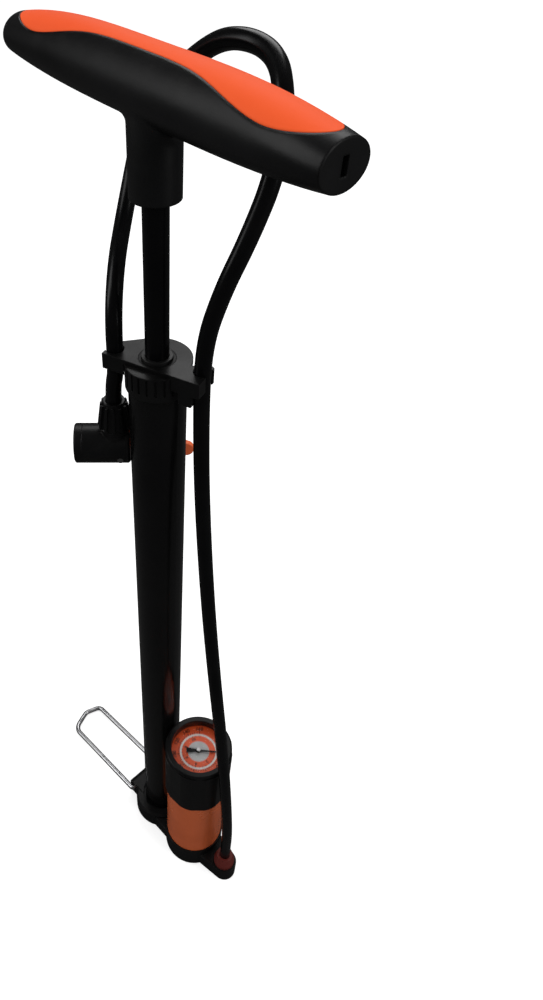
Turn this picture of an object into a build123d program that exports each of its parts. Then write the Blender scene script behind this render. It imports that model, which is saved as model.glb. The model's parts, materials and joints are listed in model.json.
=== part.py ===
from build123d import *
import math
import os

# Floor bike pump, millimetres.  The origin is on the floor under the barrel's axis, +Z is up,
# and +X points from the barrel to the gauge tower and the hose outlet.

# ---- driving dimensions ----
FIT = 0.05                       # running clearance on a radius

BARREL_R, BARREL_WALL = 17.5, 1.5
BARREL_FOOT_Z, BARREL_TOP_Z = 12.0, 585.0
BORE_R = BARREL_R - BARREL_WALL

ROD_R, ROD_WALL = 7.0, 1.5
ROD_FOOT_Z, ROD_TOP_Z = 130.0, 714.0

TOWER_X, TOWER_Y = 51.0, 0.0
TANK_R, TANK_WALL = 28.2, 2.4
TANK_FOOT_Z, TANK_TOP_Z = 25.5, 150.0
GAUGE_FLOOR_Z, GAUGE_TOP_Z = 135.0, 198.0
RING_TOP_Z = 202.0
RING_R = 30.0
FACET_TURN = 25.1                # turns the eight-sided head so that one flat faces the user
DIAL_Z, DIAL_R = 192.2, 24.6

BASE_Z = 1.0                     # the pads hold the moulding this far off the floor
BOSS_R, BOSS_TOP_Z = 28.0, 25.0
SEAT_R, SEAT_TOP_Z = 29.6, 32.0
NECK_R, NECK_TOP_Z = 23.5, 20.0
CHANNEL_R, CHANNEL_Z = 2.4, 10.2
VALVE_R = 9.0
OUTLET_X = 96.3
LUG_R, LUG_TOP_Z = 11.7, 22.0
HOSE_START_Z = 34.0

FOOT_MID_Y = 0.0                 # middle of the wire foot
FOOT_PIVOT_X, FOOT_PIVOT_Z = -26.0, 18.0
FOOT_BLOCK_HALF = 16.8
WIRE_R = 2.5

CAP_R, CAP_LIP_R = 19.2, 18.7
CAP_FOOT_Z, CAP_LIP_Z, CAP_TOP_Z = 572.8, 576.6, 588.6
CAP_GROOVES = 24
PLATE_TOP_Z, ARM_FOOT_Z, GUSSET_FOOT_Z = 591.0, 581.0, 573.5
PLATE_TURN = 18.3                # the clip plate's direction, degrees from +X
PLATE_R, PLATE_FRONT_Y = 20.6, -12.0
RIGHT_CLIP, LEFT_CLIP = (29.0, 0.4), (-26.0, -4.1)      # along and across the plate
CLIP_BORE_R, CLIP_OUT_R = 5.4, 7.6

HOSE_R = 5.0

HEAD_X, HEAD_Y, HEAD_Z = -27.3, -12.3, 517.0
HEAD_TURN = 47.9                 # the head's axis, degrees from +X
HEAD_R = 13.0
MOUTH_X, HEAD_REAR_X = -26.6, 9.4
SOCKET_R = 4.0
CAM_X, CAM_Z, CAM_R, CAM_THROW = 3.0, -4.5, 3.3, 1.2
CAM_BORE_R = 4.8
PLUNGER_R = 6.4
NUT_TOP = 35.0                   # above the head's axis
HOSE_END = 29.0                  # above the head's axis

GRIP_Z, GRIP_HALF = 732.8, 112.5
GRIP_TURN = -4.7                 # the bar's direction at rest, degrees from +X
# The bar's oval sections: distance from the middle, half width, half height, drop of the centre.
GRIP_SECTIONS = [(0.0, 16.2, 16.2, 0.0), (48.0, 16.1, 15.8, 0.0), (80.0, 15.3, 14.1, 0.4),
                 (100.0, 14.3, 11.9, 0.9), (112.5, 13.1, 10.0, 1.3)]
STEM_R, STEM_FOOT_Z = 13.3, 683.0
INSERT_DEEP, INSERT_GAP = 3.0, 0.35

# The hose's route, chosen by hand: out of the base, up past the tower, through the right clip,
# over in an arch behind the bar, and down through the left clip into the pump head.
HOSE_ROUTE = [
    (96.3, 0.0, 34.0), (96.3, 0.0, 60.0), (97.2, -2.8, 106.0), (92.4, -5.6, 176.0),
    (82.4, -5.7, 252.0), (67.4, -4.6, 335.0), (52.0, -1.9, 420.0), (37.2, 3.2, 505.0),
    (27.4, 9.6, 560.0), (27.5, 9.2, 608.0), (35.1, 13.3, 641.5), (41.1, 24.1, 669.5),
    (45.0, 34.4, 699.5), (38.4, 43.7, 726.0), (18.0, 58.1, 739.5), (-11.5, 59.3, 740.5),
    (-36.0, 58.3, 727.0), (-62.5, 48.9, 700.0), (-67.2, 43.1, 669.5), (-56.5, 24.7, 645.0),
    (-38.2, 3.4, 632.0), (-23.6, -11.9, 611.0), (-23.5, -12.1, 575.0), (-27.2, -12.3, 562.0),
    (-27.3, -12.3, 546.0),
]


# ---- helpers ----
def disc(radius, z_low, z_high, x=0.0, y=0.0):
    body = Cylinder(radius, z_high - z_low, align=(Align.CENTER, Align.CENTER, Align.MIN))
    return Pos(x, y, z_low) * body


def ring(outer, inner, z_low, z_high, x=0.0, y=0.0):
    return disc(outer, z_low, z_high, x, y) - disc(inner, z_low - 1, z_high + 1, x, y)


def taper(radius_low, radius_high, z_low, z_high, x=0.0, y=0.0):
    body = Cone(radius_low, radius_high, z_high - z_low, align=(Align.CENTER, Align.CENTER, Align.MIN))
    return Pos(x, y, z_low) * body


def block(x_low, x_high, y_low, y_high, z_low, z_high):
    body = Box(x_high - x_low, y_high - y_low, z_high - z_low, align=(Align.MIN, Align.MIN, Align.MIN))
    return Pos(x_low, y_low, z_low) * body


def rod_x(radius, x_low, x_high, y=0.0, z=0.0):
    body = Cylinder(radius, x_high - x_low, align=(Align.CENTER, Align.CENTER, Align.MIN))
    return Pos(x_low, y, z) * Rot(0, 90, 0) * body


def rod_y(radius, y_low, y_high, x=0.0, z=0.0):
    body = Cylinder(radius, y_high - y_low, align=(Align.CENTER, Align.CENTER, Align.MIN))
    return Pos(x, y_low, z) * Rot(-90, 0, 0) * body


def strip(first, second, z_low, z_high):
    """Solid with the outline of a belt round two circles, each given as x, y, radius."""
    circles = [Pos(x, y) * Circle(r) for x, y, r in (first, second)]
    outline = make_hull([edge for circle in circles for edge in circle.edges()])
    return Pos(0, 0, z_low) * extrude(outline, z_high - z_low)


def soft_top(body, size):
    return chamfer(body.edges().sort_by(Axis.Z)[-1], size)


# ---- base ----
SCREW_SPOTS = [(-17.5, 0.0), (25.5, 16.5), (25.5, -16.5)]
PAD_SPOTS = [(0.0, 0.0), (-29.6, 11.0), (-29.6, -11.0), (64.5, 22.0), (64.5, -22.0), (99.0, 0.0)]
PAD_R = 3.6
TANK_OUTLET_X = 67.5
COVER_R = 22.0


def base():
    body = soft_top(disc(BOSS_R, BASE_Z, BOSS_TOP_Z), 2.0)
    body += disc(SEAT_R, BASE_Z, SEAT_TOP_Z, TOWER_X, TOWER_Y)
    body += strip((0, 0, NECK_R), (TOWER_X, TOWER_Y, NECK_R), BASE_Z, NECK_TOP_Z)
    body += strip((TOWER_X + 15, TOWER_Y, 16.5), (OUTLET_X + 1.2, 0, LUG_R), BASE_Z, LUG_TOP_Z)
    pivot = block(-34, -12, FOOT_MID_Y - FOOT_BLOCK_HALF, FOOT_MID_Y + FOOT_BLOCK_HALF, BASE_Z, 26)
    body += chamfer(pivot.edges().filter_by(Axis.Y).group_by(Axis.X)[0].sort_by(Axis.Z)[-1], 5.0)
    body -= disc(BARREL_R + FIT, BARREL_FOOT_Z - 1.5, 60)
    body -= disc(14.0, 8.0, 40)
    body -= ring(19.8, BARREL_R - 1, BOSS_TOP_Z - 3, BOSS_TOP_Z + 5)
    body -= ring(TANK_R + FIT, TANK_R - TANK_WALL - FIT, TANK_FOOT_Z - 1.5, 60, TOWER_X, TOWER_Y)
    body -= disc(VALVE_R, 7.8, 60, TOWER_X, TOWER_Y)
    body -= rod_x(CHANNEL_R, 0, TOWER_X, -0.5, CHANNEL_Z)
    body -= disc(CHANNEL_R, CHANNEL_Z, 60, TANK_OUTLET_X, TOWER_Y)
    body -= rod_x(CHANNEL_R, TANK_OUTLET_X, OUTLET_X, -1.0, 12.0)
    body -= disc(6.0, 9.0, 60, OUTLET_X, 0)
    body -= rod_y(WIRE_R + FIT, -60, 60, FOOT_PIVOT_X, FOOT_PIVOT_Z)
    body -= strip((0, 0, COVER_R + 0.2), (TOWER_X, TOWER_Y, COVER_R + 0.2), 0, BASE_Z + 3)
    for x, y in SCREW_SPOTS:
        body -= disc(1.8, 3, 10, x, y)
    for x, y in PAD_SPOTS:
        body -= disc(PAD_R, 0, 2.5, x, y)
    return body


def base_plate():
    plate = strip((0, 0, COVER_R), (TOWER_X, TOWER_Y, COVER_R), BASE_Z, BASE_Z + 3)
    plate -= disc(PAD_R, 0, 2.5)
    for x, y in SCREW_SPOTS:
        plate -= disc(1.8, 0, 10, x, y) + disc(3.2, 0, 2.5, x, y)
    return plate


def base_screws():
    return [disc(3.1, BASE_Z, 2.5, x, y) + disc(1.7, BASE_Z, 9.5, x, y) for x, y in SCREW_SPOTS]


def floor_pads():
    return [disc(PAD_R, 0, 2.5, x, y) for x, y in PAD_SPOTS]


# ---- barrel ----
def barrel_tube():
    return ring(BARREL_R, BORE_R, BARREL_FOOT_Z, BARREL_TOP_Z)


def barrel_gasket():
    return ring(BARREL_R, 14.5, BARREL_FOOT_Z - 1.5, BARREL_FOOT_Z)


def barrel_cap():
    body = disc(CAP_R, CAP_FOOT_Z, CAP_TOP_Z) + disc(CAP_LIP_R, CAP_FOOT_Z, CAP_LIP_Z)
    body -= disc(BARREL_R + FIT, CAP_FOOT_Z - 1, BARREL_TOP_Z) + disc(10.95, 500, 600)
    groove = block(CAP_R - 0.9, CAP_R + 2, -0.65, 0.65, CAP_LIP_Z, CAP_TOP_Z - 0.8)
    for turn in range(CAP_GROOVES):
        body -= Rot(0, 0, turn * 360 / CAP_GROOVES) * groove
    return body


def clip_plate():
    """Flat plate over the cap, drawn along X, with an open hose clip at the end of each arm."""
    low, high = CAP_TOP_Z, PLATE_TOP_Z
    left_end, right_end = -30.0, 33.2
    body = disc(PLATE_R, low, high) - block(-30, 30, -30, PLATE_FRONT_Y, low - 1, high + 1)
    arms = block(14.0, right_end, PLATE_FRONT_Y, 3.0, ARM_FOOT_Z, high)
    arms += block(left_end, -14.0, PLATE_FRONT_Y, 0.0, ARM_FOOT_Z, high)
    for along, across in (RIGHT_CLIP, LEFT_CLIP):
        arms += disc(CLIP_OUT_R, ARM_FOOT_Z, high, along, across)
    body += arms & block(left_end, right_end, PLATE_FRONT_Y, 20, ARM_FOOT_Z, high)
    web = Polyline((-29.0, 2.0), (-12.0, 16.8), (-12.0, PLATE_FRONT_Y), (-29.0, PLATE_FRONT_Y), close=True)
    body += Pos(0, 0, low) * extrude(make_face(web), high - low)
    body += block(20.2, 28.4, PLATE_FRONT_Y, PLATE_FRONT_Y + 3, GUSSET_FOOT_Z, high)
    for along, across in (RIGHT_CLIP, LEFT_CLIP):
        body -= disc(CLIP_BORE_R, 500, 600, along, across)
    body -= block(RIGHT_CLIP[0], 40, RIGHT_CLIP[1] - 4.2, RIGHT_CLIP[1] + 4.2, 500, 600)
    body -= block(-50, LEFT_CLIP[0], LEFT_CLIP[1] - 4.2, LEFT_CLIP[1] + 4.2, 500, 600)
    body -= disc(CAP_R + 0.1, 500, low)
    body -= disc(10.95, 500, 600)
    return Rot(0, 0, PLATE_TURN) * body


def rod_bush():
    body = disc(10.9, 565, PLATE_TOP_Z) + disc(BORE_R - FIT, 580, BARREL_TOP_Z)
    return body - disc(ROD_R + FIT, 500, 600) - disc(9.2, 587.5, 600)


def rod_wiper():
    return ring(9.15, ROD_R + FIT, 587.5, 593)


def bump_stop():
    return ring(12.5, ROD_R + 0.6, 559, 565)


# ---- tank and check valve ----
def tank_tube():
    return ring(TANK_R, TANK_R - TANK_WALL, TANK_FOOT_Z, TANK_TOP_Z, TOWER_X, TOWER_Y)


def tank_lower_seal():
    return ring(TANK_R, TANK_R - TANK_WALL, TANK_FOOT_Z - 1.5, TANK_FOOT_Z, TOWER_X, TOWER_Y)


def tank_upper_seal():
    return ring(TANK_R, TANK_R - TANK_WALL, TANK_TOP_Z, TANK_TOP_Z + 1.5, TOWER_X, TOWER_Y)


def valve_seat():
    return (ring(VALVE_R - FIT, 2.5, 13, 18, TOWER_X, TOWER_Y)
            - taper(2.5, 3.7, 16.8, 18, TOWER_X, TOWER_Y))


def valve_ball():
    return Pos(TOWER_X, TOWER_Y, 20.1) * Sphere(4.0)


def valve_spring():
    coil = Helix(pitch=1.6, height=5.2, radius=3.0)
    wire = sweep(Plane(coil @ 0, z_dir=coil % 0) * Circle(0.3), path=coil)
    return Pos(TOWER_X, TOWER_Y, 24.4) * wire


def valve_retainer():
    return ring(VALVE_R - FIT, 2.2, 30, SEAT_TOP_Z, TOWER_X, TOWER_Y)


# ---- gauge ----
def gauge_head():
    body = disc(RING_R - 1.4, GAUGE_FLOOR_Z, GAUGE_TOP_Z)
    facets = extrude(RegularPolygon(RING_R, 8, major_radius=False), GAUGE_TOP_Z - GAUGE_FLOOR_Z)
    body += Pos(0, 0, GAUGE_FLOOR_Z) * Rot(0, 0, FACET_TURN) * facets
    body = body & disc(RING_R + 0.7, GAUGE_FLOOR_Z, GAUGE_TOP_Z)
    body -= ring(TANK_R + FIT, TANK_R - TANK_WALL - FIT, 100, TANK_TOP_Z + 1.5)
    body -= disc(TANK_R - TANK_WALL - 2.5, 100, 146)
    body -= disc(26.0, 152, 300)
    body -= disc(3.0, 100, 300)
    return Pos(TOWER_X, TOWER_Y, 0) * body


def bezel_ring():
    body = soft_top(disc(RING_R, GAUGE_TOP_Z, RING_TOP_Z), 1.2)
    body += disc(26.0 - FIT, DIAL_Z + 1, GAUGE_TOP_Z)
    return Pos(TOWER_X, TOWER_Y, 0) * (body - disc(24.8, 100, 300))


def gauge_lens():
    return disc(24.7, 196.6, 198.2, TOWER_X, TOWER_Y)


def gauge_dial():
    return ring(DIAL_R + 1.0, 1.6, DIAL_Z - 1, DIAL_Z, TOWER_X, TOWER_Y)


def gauge_stem():
    """Brass block that takes the tank's air to the bourdon tube and carries the movement."""
    body = disc(2.95, 140, 156) + disc(6.0, 152, 156)
    body += block(-22, 6, -4, 4, 152, 158) + block(-22, -15, -5, 5, 152, 172)
    return Pos(TOWER_X, TOWER_Y, 0) * body


def bourdon_tube():
    sweep_arc = CenterArc((0, 0), 19.5, -170, 250)
    tube = sweep(Plane(sweep_arc @ 0, z_dir=sweep_arc % 0) * Ellipse(1.4, 3.2), path=sweep_arc)
    return Pos(TOWER_X, TOWER_Y, 176) * tube


SECTOR_DISTANCE = 13.5
SECTOR_TEETH, PINION_TEETH = 54, 9
GEAR_PITCH_R = SECTOR_DISTANCE / (1 + PINION_TEETH / SECTOR_TEETH)
PINION_PITCH_R = SECTOR_DISTANCE - GEAR_PITCH_R
SECTOR_TURN = 60.0               # from the tower's axis towards the sector's arbor
SECTOR_HALF = 50.0
GEAR_LOW_Z, GEAR_HIGH_Z = 180.0, 181.6


def gear_tooth(pitch_r, teeth):
    step = 2 * math.pi * pitch_r / teeth
    root, crest = 0.30 * step, 0.11 * step
    depth = 0.26 * step
    outline = Polyline((pitch_r - 1.7 * depth, -root), (pitch_r + depth, -crest),
                       (pitch_r + depth, crest), (pitch_r - 1.7 * depth, root), close=True)
    return make_face(outline)


def gear_face(pitch_r, teeth, first, last, offset):
    face = Circle(pitch_r - 0.35 * 2 * math.pi * pitch_r / teeth)
    for number in range(first, last):
        face += Rot(0, 0, (number + offset) * 360 / teeth) * gear_tooth(pitch_r, teeth)
    return face


def sector_place():
    turn = math.radians(SECTOR_TURN)
    return (TOWER_X + SECTOR_DISTANCE * math.cos(turn), TOWER_Y + SECTOR_DISTANCE * math.sin(turn))


def sector_gear():
    """Toothed sector on a short arbor, with the teeth that pass the pinion over its travel."""
    step = 360 / SECTOR_TEETH
    reach = round(SECTOR_HALF / step)
    face = gear_face(GEAR_PITCH_R, SECTOR_TEETH, -reach - 1, 3, 0.0)
    wedge = make_face(Polyline((0, 0), (20, -24.5), (20, 5.2), close=True)) + Circle(2.6)
    body = extrude(face & wedge, GEAR_HIGH_Z - GEAR_LOW_Z)
    x, y = sector_place()
    return (Pos(x, y, GEAR_LOW_Z) * Rot(0, 0, SECTOR_TURN + 180) * body
            + disc(1.0, 175.0, 185.6, x, y))


def movement_plates():
    x, y = sector_place()
    plates = []
    for low, high in ((174.6, 176.6), (184.0, 186.0)):
        plate = strip((TOWER_X, TOWER_Y, 4.5), (x, y, 3.5), low, high)
        plate -= disc(1.0 + FIT, 170, 190, x, y) + disc(1.2 + FIT, 170, 190, TOWER_X, TOWER_Y)
        plates.append(plate)
    return plates


def needle_pinion():
    pinion = gear_face(PINION_PITCH_R, PINION_TEETH, 0, PINION_TEETH, 0.5)
    body = Pos(0, 0, GEAR_LOW_Z) * Rot(0, 0, SECTOR_TURN) * extrude(pinion, GEAR_HIGH_Z - GEAR_LOW_Z)
    body += disc(1.2, 174.8, DIAL_Z + 2.5)
    return Pos(TOWER_X, TOWER_Y, 0) * body


NEEDLE_TURN = 44.0               # where the needle rests, degrees from +X


def needle():
    blade = Polyline((-11.0, 2.6), (-1.0, 0.9), (19.5, 0.35), (19.5, -0.35), (-1.0, -0.9), (-11.0, -2.6),
                     close=True)
    body = extrude(make_face(blade), 0.6) + Cylinder(2.2, 1.6, align=(Align.CENTER, Align.CENTER, Align.MIN))
    body -= Cylinder(1.2, 4)
    return Pos(TOWER_X, TOWER_Y, DIAL_Z + 1.4) * Rot(0, 0, NEEDLE_TURN) * body


def needle_cap():
    return disc(1.9, DIAL_Z + 3.0, DIAL_Z + 3.9, TOWER_X, TOWER_Y)


# ---- hose outlet ----
def hose_barb():
    body = disc(5.95, 12.5, 24.0, OUTLET_X, 0) + disc(4.2, 24.0, HOSE_START_Z, OUTLET_X, 0)
    return body - disc(1.8, 0, 60, OUTLET_X, 0)


def hose_collar():
    body = disc(10.4, LUG_TOP_Z, 27.0, OUTLET_X, 0) + taper(10.4, 7.8, 27.0, 38.0, OUTLET_X, 0)
    body -= disc(HOSE_R + 0.1, HOSE_START_Z - 1.5, 60, OUTLET_X, 0)
    return body - disc(6.1, 0, HOSE_START_Z - 1.5, OUTLET_X, 0)


# ---- wire foot ----
def foot_wire():
    near, far = FOOT_MID_Y - FOOT_BLOCK_HALF - 3.2, FOOT_MID_Y + FOOT_BLOCK_HALF + 3.2
    x, z = FOOT_PIVOT_X, FOOT_PIVOT_Z
    points = [(x, near + 11.0, z), (x, near, z), (-134.0, near + 1.0, WIRE_R), (-142.5, 3.0, WIRE_R),
              (-137.0, far, WIRE_R), (x, far, z), (x, far - 11.0, z)]
    path = FilletPolyline(*points, radius=[3.0, 12.0, 8.0, 7.0, 3.0])
    return sweep(Plane(path @ 0, z_dir=path % 0) * Circle(WIRE_R), path=path)


# ---- hose ----
def corner_radii(route):
    """Each corner's arc is as large as its two runs allow."""
    radii = []
    for before, corner, after in zip(route, route[1:], route[2:]):
        run_in, run_out = Vector(*corner) - Vector(*before), Vector(*after) - Vector(*corner)
        half_turn = math.radians(run_in.get_angle(run_out)) / 2
        radii.append(0.45 * min(run_in.length, run_out.length) / math.tan(half_turn))
    return radii


def hose():
    radii = corner_radii(HOSE_ROUTE)
    path = FilletPolyline(*HOSE_ROUTE, radius=radii)
    tube = sweep(Plane(path @ 0, z_dir=path % 0) * Circle(HOSE_R), path=path)
    print("hose corner radii", [round(r, 1) for r in radii])
    print("hose length", round(path.length, 1), "volume over section times length",
          round(tube.volume / (math.pi * HOSE_R ** 2 * path.length), 4))
    return tube


# ---- pump head, drawn with its axis along X and its neck over the origin ----
def in_head(body):
    return Pos(HEAD_X, HEAD_Y, HEAD_Z) * Rot(0, 0, HEAD_TURN) * body


def head_body():
    body = rod_x(HEAD_R, -21.5, HEAD_REAR_X)
    body = chamfer(body.edges().filter_by(GeomType.CIRCLE).group_by(Axis.X)[-1], 1.2)
    body += disc(9.6, 0, 13.4)
    body -= disc(5.95, 10.0, 30)
    body -= rod_x(8.4, -22, -8.9) + rod_x(PLUNGER_R + FIT, -9, 1.6)
    body -= rod_y(CAM_BORE_R, -7, 20, CAM_X, CAM_Z)
    body -= rod_y(2.0 + FIT, -20, 0, CAM_X, CAM_Z)
    body -= disc(1.6, 0, 30)
    return in_head(body)


def mouth_ring():
    body = rod_x(HEAD_R, MOUTH_X, -21.5) - rod_x(SOCKET_R + 0.8, -30, -20)
    rim = body.edges().filter_by(GeomType.CIRCLE).group_by(Axis.X)[0].sort_by(SortBy.LENGTH)[-1]
    return in_head(chamfer(rim, 0.8))


def valve_grommet():
    return in_head(rod_x(8.35, -21.5, -9.0) - rod_x(SOCKET_R, -30, 0))


def head_plunger():
    return in_head(rod_x(PLUNGER_R, -6.6, 0.3) - rod_x(1.5, -10, 10) - disc(1.6, 0, 30))


def cam_spindle():
    turn = math.radians(45)
    x, z = CAM_X + CAM_THROW * math.cos(turn), CAM_Z + CAM_THROW * math.sin(turn)
    return in_head(rod_y(2.0, -12.6, 18.6, CAM_X, CAM_Z) + rod_y(CAM_R, -6, 5.5, x, z))


def spindle_bush():
    return in_head(rod_y(CAM_BORE_R - FIT, 6.5, 11.6, CAM_X, CAM_Z) - rod_y(2.0 + FIT, -20, 20, CAM_X, CAM_Z))


LEVER_LENGTH, LEVER_DROP = 50.0, 17.0


def head_lever():
    """Flat lever on the far side of the head, sloping down from the spindle."""
    outline = make_hull([*Circle(7.2).edges(), *(Pos(LEVER_LENGTH - 5.0, 0) * Circle(5.0)).edges()])
    blade = extrude(outline, 5.0)
    blade = chamfer(blade.edges().group_by(Axis.Z)[-1], 1.0)
    for grip_x in (26.0, 31.0, 36.0):
        blade += Pos(grip_x, 0, 5.0) * Box(1.6, 7.5, 1.2)
    blade -= Cylinder(2.02, 20)
    place = Pos(CAM_X, HEAD_R + 0.5, CAM_Z) * Rot(0, LEVER_DROP, 0) * Rot(-90, 0, 0)
    return in_head(place * blade)


def lever_screw():
    return in_head(rod_y(3.4, 18.7, 20.6, CAM_X, CAM_Z))


def head_barb():
    body = disc(5.9, 10.0, 13.4) + disc(6.4, 13.4, 16.0) + disc(5.9, 16.0, HOSE_END)
    return in_head(body - disc(1.6, 0, 60))


def head_nut():
    body = disc(10.2, 13.6, 15.8) + taper(9.7, 6.9, 15.8, NUT_TOP)
    for turn in range(12):
        rib = Rot(0, 0, turn * 30) * (Pos(8.6, 0, 24.5) * Rot(0, -8.3, 0) * Box(2.6, 1.7, 17.0))
        body += rib
    body -= disc(6.5, 0, HOSE_END) + disc(HOSE_R + 0.12, HOSE_END, 60)
    return in_head(body)


# ---- piston ----
def piston_body():
    body = disc(BORE_R - 0.4, 112, 113.5) + disc(12.0, 113, 122.5) + disc(BORE_R - 0.4, 122.0, 126)
    return body + disc(11.0, 126, 129.9) - disc(4.0 + FIT, 0, 200)


def piston_cup():
    return ring(BORE_R - FIT, 12.05, 113.6, 121.8)


def piston_washer():
    return ring(12.0, 4.0 + FIT, 110, 112)


def rod_tube():
    return ring(ROD_R, ROD_R - ROD_WALL, ROD_FOOT_Z, ROD_TOP_Z)


def rod_stud():
    inside = ROD_R - ROD_WALL - 0.02
    return disc(4.0, 101, ROD_FOOT_Z) + disc(inside, ROD_FOOT_Z, 160)


def piston_nut():
    nut = extrude(RegularPolygon(6.5, 6, major_radius=False), 6.5)
    return Pos(0, 0, 103.4) * nut - disc(4.02, 0, 200)


# ---- handle ----
def grip_bar(shrink=0.0):
    """Bar with oval sections along X, round in the middle and flatter towards its square-cut ends."""
    sections = []
    for reach, half_width, half_height, drop in [*reversed(GRIP_SECTIONS[1:])]:
        sections.append((-reach, half_width, half_height, drop))
    sections += GRIP_SECTIONS
    ovals = []
    for x, half_width, half_height, drop in sections:
        place = Plane(origin=(x, 0, -drop), x_dir=(0, 1, 0), z_dir=(1, 0, 0))
        ovals.append(place * Ellipse(half_width - shrink, half_height - shrink))
    return loft(ovals)


def insert_outline(grow):
    """Plan of the soft insert: two round-ended pads joined by a narrow waist."""
    reach, pad, waist, pad_x = GRIP_HALF - 4.8 + grow, 12.6 + grow, 6.7 + grow, 78.0
    left = EllipticalCenterArc((-pad_x, 0), reach - pad_x, pad, start_angle=90, arc_size=90)
    right = EllipticalCenterArc((pad_x, 0), reach - pad_x, pad, start_angle=0, arc_size=90)
    side = Spline((-pad_x, pad), (-38.0, waist + 1.3), (0, waist), (38.0, waist + 1.3), (pad_x, pad),
                  tangents=((1, 0), (1, 0)))
    edges = [*left.edges(), *side.edges(), *right.edges()]
    return make_face(edges + [edge.mirror(Plane.XZ) for edge in edges])


def on_stem(body):
    return Pos(0, 0, GRIP_Z) * Rot(0, 0, GRIP_TURN) * body


def insert_shell(grow):
    prism = extrude(insert_outline(grow), 30)
    return (grip_bar() - grip_bar(INSERT_DEEP)) & prism


def handle_grip():
    bar = grip_bar() + Pos(0, 0, STEM_FOOT_Z - GRIP_Z) * Cylinder(
        STEM_R, GRIP_Z - STEM_FOOT_Z, align=(Align.CENTER, Align.CENTER, Align.MIN))
    seam = [edge for edge in bar.edges() if abs(edge.center().X) < 14 and edge.center().Z < -5
            and edge.center().Z > STEM_FOOT_Z - GRIP_Z + 5 and edge.geom_type != GeomType.LINE]
    bar = fillet(seam, 7.0)
    bar -= insert_shell(INSERT_GAP)
    bar -= Pos(0, 0, -60) * Cylinder(ROD_R + 0.05, 60 + ROD_TOP_Z + 0.5 - GRIP_Z,
                                     align=(Align.CENTER, Align.CENTER, Align.MIN))
    bar -= Pos(0, 0, -20) * Cylinder(3.1, 60, align=(Align.CENTER, Align.CENTER, Align.MIN))
    bar -= Pos(0, 0, 6.0) * Cylinder(5.6, 30, align=(Align.CENTER, Align.CENTER, Align.MIN))
    for end in (-1, 1):
        bar -= Pos(end * GRIP_HALF, 0, -GRIP_SECTIONS[-1][3]) * Box(16, 3.2, 7.5)
    return on_stem(bar)


def handle_insert():
    return on_stem(insert_shell(0.0))


def rod_plug():
    return ring(ROD_R - ROD_WALL - 0.02, 2.95, 694, ROD_TOP_Z)


def handle_bolt():
    return disc(2.95, 696, GRIP_Z + 6.0) + disc(5.4, GRIP_Z + 6.0, GRIP_Z + 10.0)


NODES = [
    base, base_plate, base_screws, floor_pads, barrel_tube, barrel_gasket, barrel_cap, clip_plate,
    rod_bush, rod_wiper, bump_stop, tank_tube, tank_lower_seal, tank_upper_seal, valve_seat,
    valve_ball, valve_spring, valve_retainer, gauge_head, bezel_ring, gauge_lens, gauge_dial,
    gauge_stem, bourdon_tube, sector_gear, movement_plates, needle_pinion, needle, needle_cap,
    hose_barb, hose_collar, foot_wire, hose, head_body, mouth_ring, valve_grommet, head_plunger,
    cam_spindle, spindle_bush, head_lever, lever_screw, head_barb, head_nut, piston_body,
    piston_cup, piston_washer, rod_tube, rod_stud, piston_nut, handle_grip, handle_insert,
    rod_plug, handle_bolt,
]


def write_parts():
    os.makedirs("parts", exist_ok=True)
    for make in NODES:
        made = make()
        solids = made if isinstance(made, list) else [made]
        body = Compound(children=[solid for item in solids for solid in item.solids()])
        export_step(body, f"parts/{make.__name__}.step")


write_parts()
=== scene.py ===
import math
import json
import bpy
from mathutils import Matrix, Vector


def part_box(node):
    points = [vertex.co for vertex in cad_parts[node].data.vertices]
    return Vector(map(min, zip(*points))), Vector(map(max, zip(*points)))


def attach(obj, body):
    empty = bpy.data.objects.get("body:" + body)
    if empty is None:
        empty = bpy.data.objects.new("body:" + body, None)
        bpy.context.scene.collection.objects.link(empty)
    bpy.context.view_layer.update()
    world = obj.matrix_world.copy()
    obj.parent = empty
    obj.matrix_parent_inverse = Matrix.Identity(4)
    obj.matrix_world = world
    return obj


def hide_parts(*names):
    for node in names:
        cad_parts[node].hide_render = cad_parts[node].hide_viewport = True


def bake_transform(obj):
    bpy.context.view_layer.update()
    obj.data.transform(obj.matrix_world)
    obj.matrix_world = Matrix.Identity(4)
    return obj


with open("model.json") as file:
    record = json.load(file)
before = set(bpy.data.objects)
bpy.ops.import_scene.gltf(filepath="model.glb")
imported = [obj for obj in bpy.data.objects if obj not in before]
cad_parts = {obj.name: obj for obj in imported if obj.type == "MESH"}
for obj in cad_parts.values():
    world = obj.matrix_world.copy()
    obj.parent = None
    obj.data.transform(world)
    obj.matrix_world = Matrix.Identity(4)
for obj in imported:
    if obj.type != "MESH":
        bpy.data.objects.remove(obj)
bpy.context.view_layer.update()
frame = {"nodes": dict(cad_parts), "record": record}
record = frame["record"]
print("frame loaded:", len(frame["nodes"]), "nodes")


# helpers used by every piece
def boxMiddle(node):
    low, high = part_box(node)
    return (low + high) / 2


def deselectAll():
    if bpy.context.mode != "OBJECT":
        bpy.ops.object.mode_set(mode="OBJECT")
    for other in bpy.context.selected_objects:
        other.select_set(False)


def useOnly(piece):
    deselectAll()
    piece.select_set(True)
    bpy.context.view_layer.objects.active = piece


def settle(piece):
    # place, turn and size go into the mesh, so the object itself sits at the origin
    useOnly(piece)
    bpy.ops.object.transform_apply(location=True, rotation=True, scale=True)


def bakeModifiers(piece):
    useOnly(piece)
    for modifier in list(piece.modifiers):
        bpy.ops.object.modifier_apply(modifier=modifier.name)


def paint(piece, material):
    piece.data.materials.clear()
    piece.data.materials.append(material)


# camera, in metres and degrees
cameraValues = {
    "place": (0.2711, -0.2375, 0.835),
    "tiltFromDown": 45.15,
    "heading": 47.9,
    "lens": 27.04,
    "shiftX": 0.1045,
}


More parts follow.
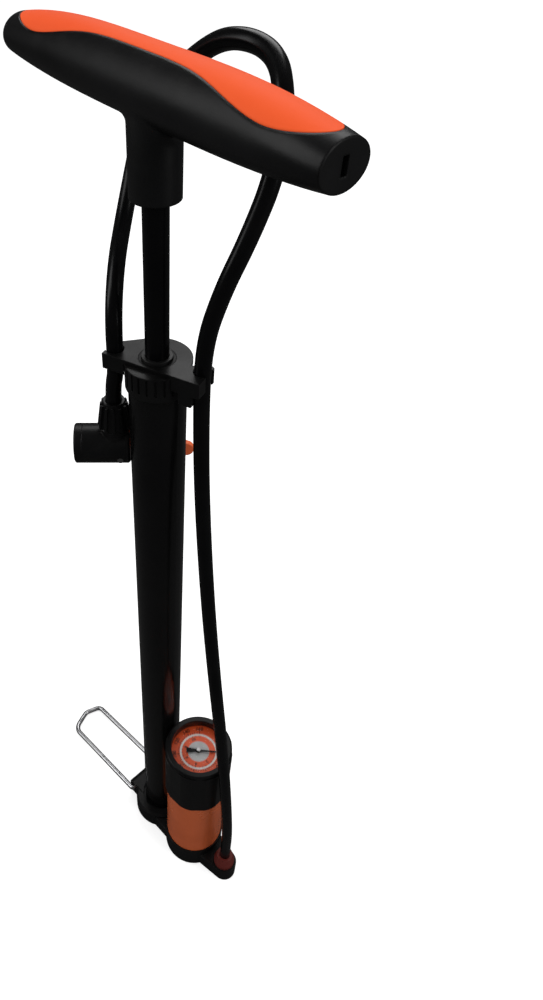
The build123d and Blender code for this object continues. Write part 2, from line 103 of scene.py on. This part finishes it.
def makeCamera(values):
    bpy.ops.object.camera_add(location=values["place"])
    camera = bpy.context.active_object
    camera.rotation_euler = (math.radians(values["tiltFromDown"]), 0, math.radians(values["heading"]))
    camera.data.lens = values["lens"]
    camera.data.shift_x = values["shiftX"]
    camera.data.clip_start = 0.01
    bpy.context.scene.camera = camera


makeCamera(cameraValues)
print("camera set")


# hose
hoseValues = {
    "radius": 0.005,
    # the same points as the hose's solid follows, in metres
    "route": [
        (0.0963, 0.0000, 0.0340), (0.0963, 0.0000, 0.0600), (0.0972, -0.0028, 0.1060),
        (0.0924, -0.0056, 0.1760), (0.0824, -0.0057, 0.2520), (0.0674, -0.0046, 0.3350),
        (0.0520, -0.0019, 0.4200), (0.0372, 0.0032, 0.5050), (0.0274, 0.0096, 0.5600),
        (0.0275, 0.0092, 0.6080), (0.0351, 0.0133, 0.6415), (0.0411, 0.0241, 0.6695),
        (0.0450, 0.0344, 0.6995), (0.0384, 0.0437, 0.7260), (0.0180, 0.0581, 0.7395),
        (-0.0115, 0.0593, 0.7405), (-0.0360, 0.0583, 0.7270), (-0.0625, 0.0489, 0.7000),
        (-0.0672, 0.0431, 0.6695), (-0.0565, 0.0247, 0.6450), (-0.0382, 0.0034, 0.6320),
        (-0.0236, -0.0119, 0.6110), (-0.0235, -0.0121, 0.5750), (-0.0272, -0.0123, 0.5620),
        (-0.0273, -0.0123, 0.5460),
    ],
    "length": 1.013,
}


def makeHose(values):
    deselectAll()
    curve = bpy.data.curves.new("airHose", "CURVE")
    curve.dimensions = "3D"
    spline = curve.splines.new("NURBS")
    spline.points.add(len(values["route"]) - 1)
    for point, place in zip(spline.points, values["route"]):
        point.co = (*place, 1.0)
    spline.order_u = 3
    spline.use_endpoint_u = True
    spline.resolution_u = 14
    curve.bevel_depth = values["radius"]
    curve.bevel_resolution = 8
    curve.use_fill_caps = True
    hose = bpy.data.objects.new("airHose", curve)
    bpy.context.scene.collection.objects.link(hose)
    return hose


hose = makeHose(hoseValues)
print("hose laid")


# shared shader effects
def link(tree, fromSocket, toSocket):
    tree.links.new(fromSocket, toSocket)


def buildSurfaceGroup():
    # fine grain for the bump, slow patches for colour and gloss, settled dust on upward faces
    group = bpy.data.node_groups.new("surfaceFeel", "ShaderNodeTree")
    for name, default in (("grainScale", 900.0), ("patchScale", 22.0), ("dustScale", 60.0)):
        socket = group.interface.new_socket(name=name, in_out="INPUT", socket_type="NodeSocketFloat")
        socket.default_value = default
    for name in ("grain", "patch", "dust"):
        group.interface.new_socket(name=name, in_out="OUTPUT", socket_type="NodeSocketFloat")
    nodes = group.nodes
    inlet, outlet = nodes.new("NodeGroupInput"), nodes.new("NodeGroupOutput")
    coordinates = nodes.new("ShaderNodeTexCoord")
    grain = nodes.new("ShaderNodeTexNoise")
    grain.inputs["Detail"].default_value = 3.0
    grain.inputs["Roughness"].default_value = 0.65
    link(group, coordinates.outputs["Object"], grain.inputs["Vector"])
    link(group, inlet.outputs["grainScale"], grain.inputs["Scale"])
    link(group, grain.outputs["Fac"], outlet.inputs["grain"])
    patch = nodes.new("ShaderNodeTexNoise")
    patch.inputs["Detail"].default_value = 5.0
    patch.inputs["Roughness"].default_value = 0.55
    link(group, coordinates.outputs["Object"], patch.inputs["Vector"])
    link(group, inlet.outputs["patchScale"], patch.inputs["Scale"])
    spread = nodes.new("ShaderNodeMapRange")
    spread.inputs["From Min"].default_value = 0.35
    spread.inputs["From Max"].default_value = 0.65
    link(group, patch.outputs["Fac"], spread.inputs["Value"])
    link(group, spread.outputs["Result"], outlet.inputs["patch"])
    specks = nodes.new("ShaderNodeTexNoise")
    specks.inputs["Detail"].default_value = 8.0
    specks.inputs["Roughness"].default_value = 0.75
    link(group, coordinates.outputs["Object"], specks.inputs["Vector"])
    link(group, inlet.outputs["dustScale"], specks.inputs["Scale"])
    gate = nodes.new("ShaderNodeMapRange")
    gate.inputs["From Min"].default_value = 0.52
    gate.inputs["From Max"].default_value = 0.80
    link(group, specks.outputs["Fac"], gate.inputs["Value"])
    upward = nodes.new("ShaderNodeSeparateXYZ")
    link(group, coordinates.outputs["Normal"], upward.inputs["Vector"])
    facing = nodes.new("ShaderNodeMapRange")
    facing.inputs["From Min"].default_value = -0.2
    facing.inputs["From Max"].default_value = 1.0
    facing.inputs["To Min"].default_value = 0.15
    link(group, upward.outputs["Z"], facing.inputs["Value"])
    both = nodes.new("ShaderNodeMath")
    both.operation = "MULTIPLY"
    link(group, gate.outputs["Result"], both.inputs[0])
    link(group, facing.outputs["Result"], both.inputs[1])
    link(group, both.outputs[0], outlet.inputs["dust"])
    return group


def buildStreakGroup():
    # long fine hairlines along Z, as on a wiped tube or a drawn wire
    group = bpy.data.node_groups.new("wipeStreaks", "ShaderNodeTree")
    for name, default in (("across", 420.0), ("along", 6.0)):
        socket = group.interface.new_socket(name=name, in_out="INPUT", socket_type="NodeSocketFloat")
        socket.default_value = default
    group.interface.new_socket(name="streak", in_out="OUTPUT", socket_type="NodeSocketFloat")
    nodes = group.nodes
    inlet, outlet = nodes.new("NodeGroupInput"), nodes.new("NodeGroupOutput")
    coordinates = nodes.new("ShaderNodeTexCoord")
    stretch = nodes.new("ShaderNodeCombineXYZ")
    link(group, inlet.outputs["across"], stretch.inputs["X"])
    link(group, inlet.outputs["across"], stretch.inputs["Y"])
    link(group, inlet.outputs["along"], stretch.inputs["Z"])
    scaled = nodes.new("ShaderNodeVectorMath")
    scaled.operation = "MULTIPLY"
    link(group, coordinates.outputs["Object"], scaled.inputs[0])
    link(group, stretch.outputs["Vector"], scaled.inputs[1])
    hairs = nodes.new("ShaderNodeTexNoise")
    hairs.inputs["Scale"].default_value = 1.0
    hairs.inputs["Detail"].default_value = 4.0
    link(group, scaled.outputs["Vector"], hairs.inputs["Vector"])
    pick = nodes.new("ShaderNodeMapRange")
    pick.inputs["From Min"].default_value = 0.45
    pick.inputs["From Max"].default_value = 0.72
    link(group, hairs.outputs["Fac"], pick.inputs["Value"])
    link(group, pick.outputs["Result"], outlet.inputs["streak"])
    return group


surfaceGroup = buildSurfaceGroup()
streakGroup = buildStreakGroup()


def mixColours(tree, factor, first, second):
    mix = tree.nodes.new("ShaderNodeMix")
    mix.data_type = "RGBA"
    link(tree, factor, mix.inputs["Factor"])
    for socket, value in ((mix.inputs["A"], first), (mix.inputs["B"], second)):
        if isinstance(value, tuple):
            socket.default_value = (*value, 1.0)
        else:
            link(tree, value, socket)
    return mix.outputs["Result"]


def spanValue(tree, factor, low, high):
    span = tree.nodes.new("ShaderNodeMapRange")
    span.inputs["To Min"].default_value = low
    span.inputs["To Max"].default_value = high
    link(tree, factor, span.inputs["Value"])
    return span.outputs["Result"]


# what a finish has unless its own entry below says otherwise
commonFinish = {
    "grainScale": 900.0,
    "patchScale": 22.0,
    "dustScale": 60.0,
    "dust": 0.0,
    "dustColour": (0.32, 0.30, 0.27),
    "streaks": 0.0,
    "streakAcross": 420.0,
    "streakAlong": 6.0,
    "edge": 0.0005,            # how far the light softens a sharp edge, in metres
    "bump": 0.2,
    "bumpDepth": 0.0002,
    "metal": 0.0,
    "coat": 0.0,
    "coatRough": 0.05,
    "specular": 0.5,
}


def addFeel(tree, values):
    feel = tree.nodes.new("ShaderNodeGroup")
    feel.node_tree = surfaceGroup
    for name, value in values.items():
        feel.inputs[name].default_value = value
    return feel


def buildFinish(name, own):
    values = {**commonFinish, **own}
    material = bpy.data.materials.new(name)
    material.use_nodes = True
    tree = material.node_tree
    shader = tree.nodes["Principled BSDF"]
    feel = addFeel(tree, {socket: values[socket] for socket in ("grainScale", "patchScale", "dustScale")})
    colour = mixColours(tree, feel.outputs["patch"], values["colour"], values["colourTwo"])
    rough = spanValue(tree, feel.outputs["patch"], *values["rough"])
    if values["dust"]:
        dust = spanValue(tree, feel.outputs["dust"], 0.0, values["dust"])
        colour = mixColours(tree, dust, colour, values["dustColour"])
        lift = tree.nodes.new("ShaderNodeMath")
        lift.operation = "ADD"
        link(tree, rough, lift.inputs[0])
        link(tree, dust, lift.inputs[1])
        rough = lift.outputs[0]
    if values["streaks"]:
        streak = tree.nodes.new("ShaderNodeGroup")
        streak.node_tree = streakGroup
        streak.inputs["across"].default_value = values["streakAcross"]
        streak.inputs["along"].default_value = values["streakAlong"]
        add = tree.nodes.new("ShaderNodeMath")
        add.operation = "MULTIPLY_ADD"
        link(tree, streak.outputs["streak"], add.inputs[0])
        add.inputs[1].default_value = values["streaks"]
        link(tree, rough, add.inputs[2])
        rough = add.outputs[0]
    link(tree, colour, shader.inputs["Base Color"])
    link(tree, rough, shader.inputs["Roughness"])
    softEdge = tree.nodes.new("ShaderNodeBevel")
    softEdge.samples = 6
    softEdge.inputs["Radius"].default_value = values["edge"]
    bump = tree.nodes.new("ShaderNodeBump")
    link(tree, softEdge.outputs["Normal"], bump.inputs["Normal"])
    bump.inputs["Strength"].default_value = values["bump"]
    bump.inputs["Distance"].default_value = values["bumpDepth"]
    link(tree, feel.outputs["grain"], bump.inputs["Height"])
    link(tree, bump.outputs["Normal"], shader.inputs["Normal"])
    shader.inputs["Metallic"].default_value = values["metal"]
    shader.inputs["Coat Weight"].default_value = values["coat"]
    shader.inputs["Coat Roughness"].default_value = values["coatRough"]
    shader.inputs["Specular IOR Level"].default_value = values["specular"]
    return material


finishes = {
    "black_moulding": {"colour": (0.0032, 0.0032, 0.0033), "colourTwo": (0.0055, 0.0055, 0.0057), "rough": (0.30, 0.42),
                       "grainScale": 1400, "bump": 0.25, "bumpDepth": 0.0001, "dust": 0.03, "edge": 0.0007,
                       "specular": 0.22},
    "plated_steel": {"colour": (0.42, 0.42, 0.43), "colourTwo": (0.52, 0.51, 0.49), "rough": (0.25, 0.4), "metal": 1.0},
    "pad_rubber": {"colour": (0.01, 0.01, 0.01), "colourTwo": (0.016, 0.016, 0.016), "rough": (0.7, 0.85), "dust": 0.2},
    "black_enamel": {"colour": (0.0020, 0.0020, 0.0021), "colourTwo": (0.0030, 0.0030, 0.0031), "rough": (0.16, 0.24),
                     "grainScale": 260, "bump": 0.04, "bumpDepth": 0.0002, "specular": 0.32, "streaks": 0.04,
                     "dust": 0.01, "edge": 0.0004},
    "rod_enamel": {"colour": (0.0012, 0.0012, 0.0015), "colourTwo": (0.002, 0.002, 0.0023), "rough": (0.14, 0.24),
                   "grainScale": 500, "bump": 0.05, "bumpDepth": 0.0001, "specular": 0.22, "streaks": 0.08},
    "seal_rubber": {"colour": (0.005, 0.005, 0.005), "colourTwo": (0.008, 0.008, 0.008), "rough": (0.4, 0.55)},
    "bush_nylon": {"colour": (0.003, 0.003, 0.003), "colourTwo": (0.005, 0.005, 0.005), "rough": (0.4, 0.5),
                   "specular": 0.2},
    "orange_tank": {"colour": (0.47, 0.098, 0.032), "colourTwo": (0.54, 0.115, 0.038), "rough": (0.20, 0.30),
                    "grainScale": 300, "bump": 0.05, "bumpDepth": 0.0002, "coat": 0.1, "dust": 0.02,
                    "specular": 0.3},
    "brass": {"colour": (0.60, 0.40, 0.15), "colourTwo": (0.68, 0.47, 0.20), "rough": (0.22, 0.4), "metal": 1.0},
    "spring_steel": {"colour": (0.5, 0.5, 0.52), "colourTwo": (0.56, 0.56, 0.57), "rough": (0.25, 0.35), "metal": 1.0},
    "needle_black": {"colour": (0.004, 0.004, 0.004), "colourTwo": (0.007, 0.007, 0.007), "rough": (0.4, 0.5),
                     "edge": 0.0001, "specular": 0.2},
    "red_collar": {"colour": (0.085, 0.012, 0.009), "colourTwo": (0.115, 0.017, 0.013), "rough": (0.30, 0.42),
                   "dust": 0.04, "edge": 0.0009, "specular": 0.3},
    "chrome_wire": {"colour": (0.66, 0.66, 0.68), "colourTwo": (0.78, 0.78, 0.79), "rough": (0.22, 0.36), "metal": 1.0,
                    "grainScale": 500, "bump": 0.08, "bumpDepth": 0.0001},
    "hose_rubber": {"colour": (0.0016, 0.0016, 0.0018), "colourTwo": (0.0028, 0.0028, 0.0031), "rough": (0.20, 0.30),
                    "grainScale": 700, "bump": 0.08, "bumpDepth": 0.0001, "specular": 0.22},
    "head_plastic": {"colour": (0.0032, 0.0032, 0.0034), "colourTwo": (0.0055, 0.0055, 0.0058), "rough": (0.30, 0.42),
                     "grainScale": 1500, "bump": 0.22, "bumpDepth": 0.0001, "dust": 0.03, "edge": 0.0009,
                     "specular": 0.25},
    "orange_lever": {"colour": (0.80, 0.13, 0.035), "colourTwo": (0.86, 0.16, 0.05), "rough": (0.3, 0.4),
                     "edge": 0.0008},
    "grip_black": {"colour": (0.0036, 0.0036, 0.0039), "colourTwo": (0.0062, 0.0062, 0.0066), "rough": (0.34, 0.44),
                   "grainScale": 1600, "bump": 0.22, "bumpDepth": 0.0001, "dust": 0.03, "edge": 0.0014,
                   "specular": 0.28},
    "orange_insert": {"colour": (0.97, 0.105, 0.020), "colourTwo": (1.0, 0.120, 0.026), "rough": (0.55, 0.65),
                      "grainScale": 1500, "bump": 0.2, "bumpDepth": 0.0001, "edge": 0.0010, "specular": 0.12},
}

materials = {slot: buildFinish(slot + "Finish", values) for slot, values in finishes.items()}


dialValues = {
    "outerRing": (0.0171, 0.0246),
    "whiteRing": (0.0152, 0.0171),
    "innerRing": (0.0098, 0.0152),
    "orange": (0.78, 0.085, 0.014),
    "white": (0.72, 0.69, 0.66),
    "centre": (0.44, 0.44, 0.44),
    "soil": (0.05, 0.03, 0.02),
    "soiling": 0.12,
    "printRough": (0.38, 0.52),
    "ink": (0.004, 0.003, 0.003),
    "inkTwo": (0.009, 0.006, 0.005),
    "inkRough": (0.4, 0.6),
    "markLift": 0.00005,     # the marks' middle above the dial's face
    "outerTickStart": 0.0173,
    "longTick": (0.0021, 0.00085),      # length, width
    "shortTick": (0.0014, 0.00060),
    "ticksPerNumber": 5,
    "innerTickStart": 0.0142,
    "innerTick": (0.0013, 0.00055),
    "innerTicks": 22,
    "tickThickness": 0.00006,
    "tickTaper": 0.7,
    "tickEase": 0.2,         # bevel, as a share of the width
    "outerNumberSize": 0.0047,
    "outerNumberRadius": 0.0218,
    "innerNumberSize": 0.0038,
    "innerNumberRadius": 0.0121,
    "numberWeight": 0.00014,
    "numberThickness": 0.00003,
    "firstTurn": 44.0,       # where the scale starts, degrees from +X
    "sweep": 270.0,          # clockwise
    "outerNumbers": ["0", "20", "40", "60", "80", "100", "120", "140", "160"],
    "innerNumbers": ["0", "2", "4", "6", "8", "10"],
    "innerFull": 11.0,
}


def buildDialMaterial(values):
    # three printed rings round the middle of the dial
    middle = boxMiddle("gauge_dial")
    material = bpy.data.materials.new("dialPrint")
    material.use_nodes = True
    tree = material.node_tree
    shader = tree.nodes["Principled BSDF"]
    coordinates = tree.nodes.new("ShaderNodeTexCoord")
    centred = tree.nodes.new("ShaderNodeMapping")
    centred.inputs["Location"].default_value = (-middle.x, -middle.y, 0)
    centred.inputs["Scale"].default_value = (1, 1, 0)
    link(tree, coordinates.outputs["Object"], centred.inputs["Vector"])
    radius = tree.nodes.new("ShaderNodeVectorMath")
    radius.operation = "LENGTH"
    link(tree, centred.outputs["Vector"], radius.inputs[0])
    ramp = tree.nodes.new("ShaderNodeValToRGB")
    ramp.color_ramp.interpolation = "CONSTANT"
    reach = values["outerRing"][1]
    stops = [(0.0, values["centre"]), (values["innerRing"][0] / reach, values["orange"]),
             (values["whiteRing"][0] / reach, values["white"]), (values["outerRing"][0] / reach, values["orange"])]
    ramp.color_ramp.elements.remove(ramp.color_ramp.elements[1])
    for index, (place, colour) in enumerate(stops):
        stop = ramp.color_ramp.elements[0] if index == 0 else ramp.color_ramp.elements.new(place)
        stop.position = place
        stop.color = (*colour, 1)
    share = tree.nodes.new("ShaderNodeMath")
    share.operation = "DIVIDE"
    share.inputs[1].default_value = reach
    link(tree, radius.outputs["Value"], share.inputs[0])
    link(tree, share.outputs[0], ramp.inputs["Fac"])
    feel = addFeel(tree, {"patchScale": 140.0, "grainScale": 2500.0})
    shade = spanValue(tree, feel.outputs["patch"], 0.0, values["soiling"])
    colour = mixColours(tree, shade, ramp.outputs["Color"], values["soil"])
    link(tree, colour, shader.inputs["Base Color"])
    link(tree, spanValue(tree, feel.outputs["grain"], *values["printRough"]), shader.inputs["Roughness"])
    return material


materials["dial_print"] = buildDialMaterial(dialValues)


lensValues = {
    "Base Color": (0.97, 0.98, 0.98, 1),
    "Roughness": 0.03,
    "Transmission Weight": 1.0,
    "IOR": 1.3,
    "Alpha": 0.16,           # lets the light through to the dial
}


def buildLensMaterial(values):
    material = bpy.data.materials.new("clearLensFinish")
    material.use_nodes = True
    shader = material.node_tree.nodes["Principled BSDF"]
    for name, value in values.items():
        shader.inputs[name].default_value = value
    return material


materials["clear_lens"] = buildLensMaterial(lensValues)
for subpart in record["subparts"]:
    paint(frame["nodes"][subpart["node"]], materials[subpart["material_slot"]])
paint(hose, materials["hose_rubber"])
print("finishes on", len(record["subparts"]), "nodes")

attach(hose, "pump_body")
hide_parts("hose")


# valve spring, coiled at one fixed height; in the pump the lifting ball presses it shorter
springValues = {
    "turns": 3.25,
    "height": 0.0052,
    "coilRadius": 0.0030,
    "wireRadius": 0.0003,
    "steps": 84,
    "wireSides": 10,
}


def makeValveSpring(values):
    low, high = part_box("valve_spring")
    middle = (low + high) / 2
    foot = low.z + values["wireRadius"]
    deselectAll()
    bpy.ops.mesh.primitive_circle_add(vertices=values["wireSides"], radius=values["wireRadius"],
                                      location=(values["coilRadius"], 0, 0), rotation=(math.radians(90), 0, 0))
    spring = bpy.context.active_object
    spring.name = "valveSpring"
    settle(spring)
    coil = spring.modifiers.new("coil", "SCREW")
    coil.axis = "Z"
    coil.angle = 2 * math.pi * values["turns"]
    coil.screw_offset = values["height"]
    coil.iterations = 1
    coil.steps = values["steps"]
    coil.render_steps = values["steps"]
    coil.use_smooth_shade = True
    bakeModifiers(spring)
    bpy.ops.object.mode_set(mode="EDIT")
    bpy.ops.mesh.select_all(action="SELECT")
    bpy.ops.mesh.fill_holes(sides=0)
    bpy.ops.mesh.normals_make_consistent(inside=False)
    bpy.ops.object.mode_set(mode="OBJECT")
    spring.location = (middle.x, middle.y, foot)
    settle(spring)
    paint(spring, materials["spring_steel"])
    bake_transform(spring)
    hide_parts("valve_spring")


makeValveSpring(springValues)
print("valve spring coiled")


# dial marks
def modelTick(size, values):
    # one bar from the origin along +X, narrower at its inner end, with its upright edges eased.
    # the first bar made is still in vertex select mode, so all its edges are eased and it folds over itself
    length, width = size
    deselectAll()
    bpy.ops.mesh.primitive_cube_add(size=1, location=(0.5, 0, 0))
    tick = bpy.context.active_object
    bpy.ops.object.transform_apply(location=True, rotation=False, scale=False)
    tick.scale = (length, width, values["tickThickness"])
    settle(tick)
    bpy.ops.object.mode_set(mode="EDIT")
    bpy.ops.mesh.select_all(action="DESELECT")
    bpy.ops.object.mode_set(mode="OBJECT")
    for vertex in tick.data.vertices:
        vertex.select = vertex.co.x < length / 2
    bpy.ops.object.mode_set(mode="EDIT")
    bpy.ops.transform.resize(value=(1, values["tickTaper"], 1), center_override=(0, 0, 0))
    bpy.ops.object.mode_set(mode="OBJECT")
    for edge in tick.data.edges:
        first, second = (tick.data.vertices[index].co for index in edge.vertices)
        edge.select = abs(first.z - second.z) > values["tickThickness"] / 2
    bpy.ops.object.mode_set(mode="EDIT")
    bpy.ops.mesh.select_mode(type="EDGE")
    bpy.ops.mesh.bevel(offset=width * values["tickEase"], segments=2)
    bpy.ops.object.mode_set(mode="OBJECT")
    return tick


def copyTick(tick, radiusLow, turn, middle, height):
    copied = tick.copy()
    copied.data = tick.data.copy()
    bpy.context.collection.objects.link(copied)
    copied.location = (middle.x + radiusLow * math.cos(turn), middle.y + radiusLow * math.sin(turn), height)
    copied.rotation_euler = (0, 0, turn)
    return copied


def addNumber(text, size, radius, turn, middle, height, values):
    bpy.ops.object.text_add(location=(0, 0, 0))
    number = bpy.context.active_object
    number.data.body = text
    number.data.size = size
    number.data.align_x = "CENTER"
    number.data.align_y = "CENTER"
    number.data.resolution_u = 2
    number.data.offset = values["numberWeight"]
    number.data.extrude = values["numberThickness"]
    bpy.ops.object.convert(target="MESH")
    number = bpy.context.active_object
    number.location = (middle.x + radius * math.cos(turn), middle.y + radius * math.sin(turn), height)
    number.rotation_euler = (0, 0, turn - math.radians(90))
    return number


def buildInk(values):
    ink = bpy.data.materials.new("dialInk")
    ink.use_nodes = True
    tree = ink.node_tree
    shader = tree.nodes["Principled BSDF"]
    feel = addFeel(tree, {"patchScale": 400.0})
    shade = mixColours(tree, feel.outputs["patch"], values["ink"], values["inkTwo"])
    link(tree, shade, shader.inputs["Base Color"])
    link(tree, spanValue(tree, feel.outputs["grain"], *values["inkRough"]), shader.inputs["Roughness"])
    return ink


def makeDialMarks(values):
    middle = boxMiddle("gauge_dial")
    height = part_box("gauge_dial")[1].z + values["markLift"]
    start = math.radians(values["firstTurn"])
    sweep = math.radians(values["sweep"])
    marks = []
    deselectAll()
    longTick = modelTick(values["longTick"], values)
    shortTick = modelTick(values["shortTick"], values)
    innerTick = modelTick(values["innerTick"], values)
    spaces = len(values["outerNumbers"]) - 1
    outerSteps = values["ticksPerNumber"] * spaces
    for step in range(outerSteps + 1):
        turn = start - sweep * step / outerSteps
        pattern = longTick if step % values["ticksPerNumber"] == 0 else shortTick
        marks.append(copyTick(pattern, values["outerTickStart"], turn, middle, height))
    for step, text in enumerate(values["outerNumbers"]):
        turn = start - sweep * step / spaces
        marks.append(addNumber(text, values["outerNumberSize"], values["outerNumberRadius"], turn, middle, height,
                               values))
    for step in range(values["innerTicks"] + 1):
        turn = start - sweep * step / values["innerTicks"]
        marks.append(copyTick(innerTick, values["innerTickStart"], turn, middle, height))
    for text in values["innerNumbers"]:
        turn = start - sweep * float(text) / values["innerFull"]
        marks.append(addNumber(text, values["innerNumberSize"], values["innerNumberRadius"], turn, middle, height,
                               values))
    for pattern in (longTick, shortTick, innerTick):
        bpy.data.objects.remove(pattern)
    for mark in marks:
        settle(mark)
    useOnly(marks[0])
    for mark in marks:
        mark.select_set(True)
    bpy.ops.object.join()
    joined = bpy.context.active_object
    joined.name = "dialMarks"
    paint(joined, buildInk(values))
    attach(joined, "pump_body")


makeDialMarks(dialValues)
print("dial marked")


# floor and light
studioValues = {
    "floorSize": 8.0,
    "floorGrey": 0.72,
    "floorGlow": 0.60,         # keeps the floor pale to the eye without lighting the pump from below
    "floorInGloss": 0.05,
    "floorInBounce": 0.35,
    "skyForEye": 1.0,
    "skyForLight": 0.63,
    "skyForGloss": 0.05,
}


def makeFloorMaterial(values):
    material = bpy.data.materials.new("paleFloor")
    material.use_nodes = True
    tree = material.node_tree
    shader = tree.nodes["Principled BSDF"]
    shader.inputs["Roughness"].default_value = 1.0
    shader.inputs["Specular IOR Level"].default_value = 0.0
    path = tree.nodes.new("ShaderNodeLightPath")
    grey = tree.nodes.new("ShaderNodeMix")
    link(tree, path.outputs["Is Glossy Ray"], grey.inputs["Factor"])
    grey.inputs["A"].default_value = values["floorInBounce"]
    grey.inputs["B"].default_value = values["floorInGloss"]
    seen = tree.nodes.new("ShaderNodeMix")
    link(tree, path.outputs["Is Camera Ray"], seen.inputs["Factor"])
    link(tree, grey.outputs["Result"], seen.inputs["A"])
    seen.inputs["B"].default_value = values["floorGrey"]
    link(tree, seen.outputs["Result"], shader.inputs["Base Color"])
    shader.inputs["Emission Color"].default_value = (1, 1, 1, 1)
    glow = tree.nodes.new("ShaderNodeMath")
    glow.operation = "MULTIPLY"
    glow.inputs[1].default_value = values["floorGlow"]
    link(tree, path.outputs["Is Camera Ray"], glow.inputs[0])
    link(tree, glow.outputs[0], shader.inputs["Emission Strength"])
    return material


def makeSky(values):
    world = bpy.data.worlds.new("studioSky")
    world.use_nodes = True
    tree = world.node_tree
    sky = tree.nodes["Background"]
    sky.inputs["Color"].default_value = (1, 1, 1, 1)
    path = tree.nodes.new("ShaderNodeLightPath")
    light = tree.nodes.new("ShaderNodeMix")
    link(tree, path.outputs["Is Glossy Ray"], light.inputs["Factor"])
    light.inputs["A"].default_value = values["skyForLight"]
    light.inputs["B"].default_value = values["skyForGloss"]
    eye = tree.nodes.new("ShaderNodeMix")
    link(tree, path.outputs["Is Camera Ray"], eye.inputs["Factor"])
    link(tree, light.outputs["Result"], eye.inputs["A"])
    eye.inputs["B"].default_value = values["skyForEye"]
    link(tree, eye.outputs["Result"], sky.inputs["Strength"])
    bpy.context.scene.world = world


def makeStudio(values):
    deselectAll()
    bpy.ops.mesh.primitive_plane_add(size=values["floorSize"], location=(0, 0, 0))
    floor = bpy.context.active_object
    floor.name = "studioFloor"
    paint(floor, makeFloorMaterial(values))
    makeSky(values)
    bpy.context.scene.view_settings.view_transform = "Standard"


# where each soft lamp hangs, what it points at, its size in metres and its power in watts
softboxes = {
    "leftSoftbox": {"place": (-1.0, -1.2, 1.4), "target": (0, 0, 0.4), "size": (0.7, 1.5), "power": 9},
    "rightSoftbox": {"place": (1.6, 0.5, 1.2), "target": (0, 0, 0.4), "size": (0.7, 1.5), "power": 9},
    "backSoftbox": {"place": (-0.9, 1.1, 1.9), "target": (0, 0, 0.5), "size": (1.2, 0.9), "power": 11},
}


def makeSoftbox(name, values):
    bpy.ops.object.light_add(type="AREA", location=values["place"])
    lamp = bpy.context.active_object
    lamp.name = name
    lamp.data.shape = "RECTANGLE"
    lamp.data.size, lamp.data.size_y = values["size"]
    lamp.data.energy = values["power"]
    aim = Vector(values["target"]) - Vector(values["place"])
    lamp.rotation_euler = aim.to_track_quat("-Z", "Y").to_euler()


makeStudio(studioValues)
for name, values in softboxes.items():
    makeSoftbox(name, values)
print("studio lit")
